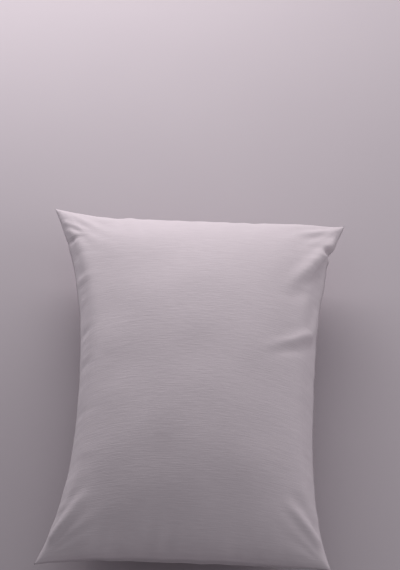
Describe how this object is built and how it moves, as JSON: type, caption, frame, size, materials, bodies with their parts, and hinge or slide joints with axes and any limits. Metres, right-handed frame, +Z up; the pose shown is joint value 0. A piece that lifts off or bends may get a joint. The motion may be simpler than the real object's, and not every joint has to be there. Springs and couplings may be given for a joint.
{
  "type": "bed pillow",
  "caption": "Soft rectangular bed pillow in a plain pillowcase with a tuck-in flap, over a piped insert filled with layered fibre that pulls out of the mouth.",
  "frame": {"origin": "on the surface the pillow lies on, under the middle of its outline", "axes": "+Z up, from the back panel to the front panel; +Y along the length, from the mouth to the closed end; +X across the width, to the right"},
  "size_m": [0.49, 0.68, 0.1952],
  "materials": {
    "case_cotton": "matte",
    "sewing_thread": "matte",
    "label_tape": "satin",
    "ticking": "matte",
    "piping": "matte",
    "cotton_cord": "matte",
    "fibre": "matte"
  },
  "bodies": {
    "case": {"front_panel": "case_cotton", "back_panel": "case_cotton", "mouth_hem": "case_cotton", "envelope_flap": "case_cotton", "flap_hem": "case_cotton", "left_seam_allowance": "case_cotton", "right_seam_allowance": "case_cotton", "closed_end_seam_allowance": "case_cotton", "left_seam_thread": "sewing_thread", "right_seam_thread": "sewing_thread", "closed_end_seam_thread": "sewing_thread", "mouth_hem_thread": "sewing_thread", "flap_hem_thread": "sewing_thread", "mouth_bartacks": "sewing_thread", "case_care_label": "label_tape"},
    "insert": {"ticking_top": "ticking", "ticking_bottom": "ticking", "piping_cover": "piping", "piping_cord": "cotton_cord", "ticking_seam_thread": "sewing_thread", "ticking_closing_thread": "sewing_thread", "insert_care_label": "label_tape", "fibre_top_layer": "fibre", "fibre_core": "fibre", "fibre_bottom_layer": "fibre"}
  },
  "joints": [
    {"name": "insert_slide", "type": "slide", "parent": "case", "child": "insert", "axis": [0, -1, 0], "range_m": [0, 0.72], "deforming": ["front_panel", "back_panel", "mouth_hem", "envelope_flap", "flap_hem", "left_seam_allowance", "right_seam_allowance", "closed_end_seam_allowance", "left_seam_thread", "right_seam_thread", "closed_end_seam_thread", "mouth_hem_thread", "flap_hem_thread", "mouth_bartacks"]}
  ]
}
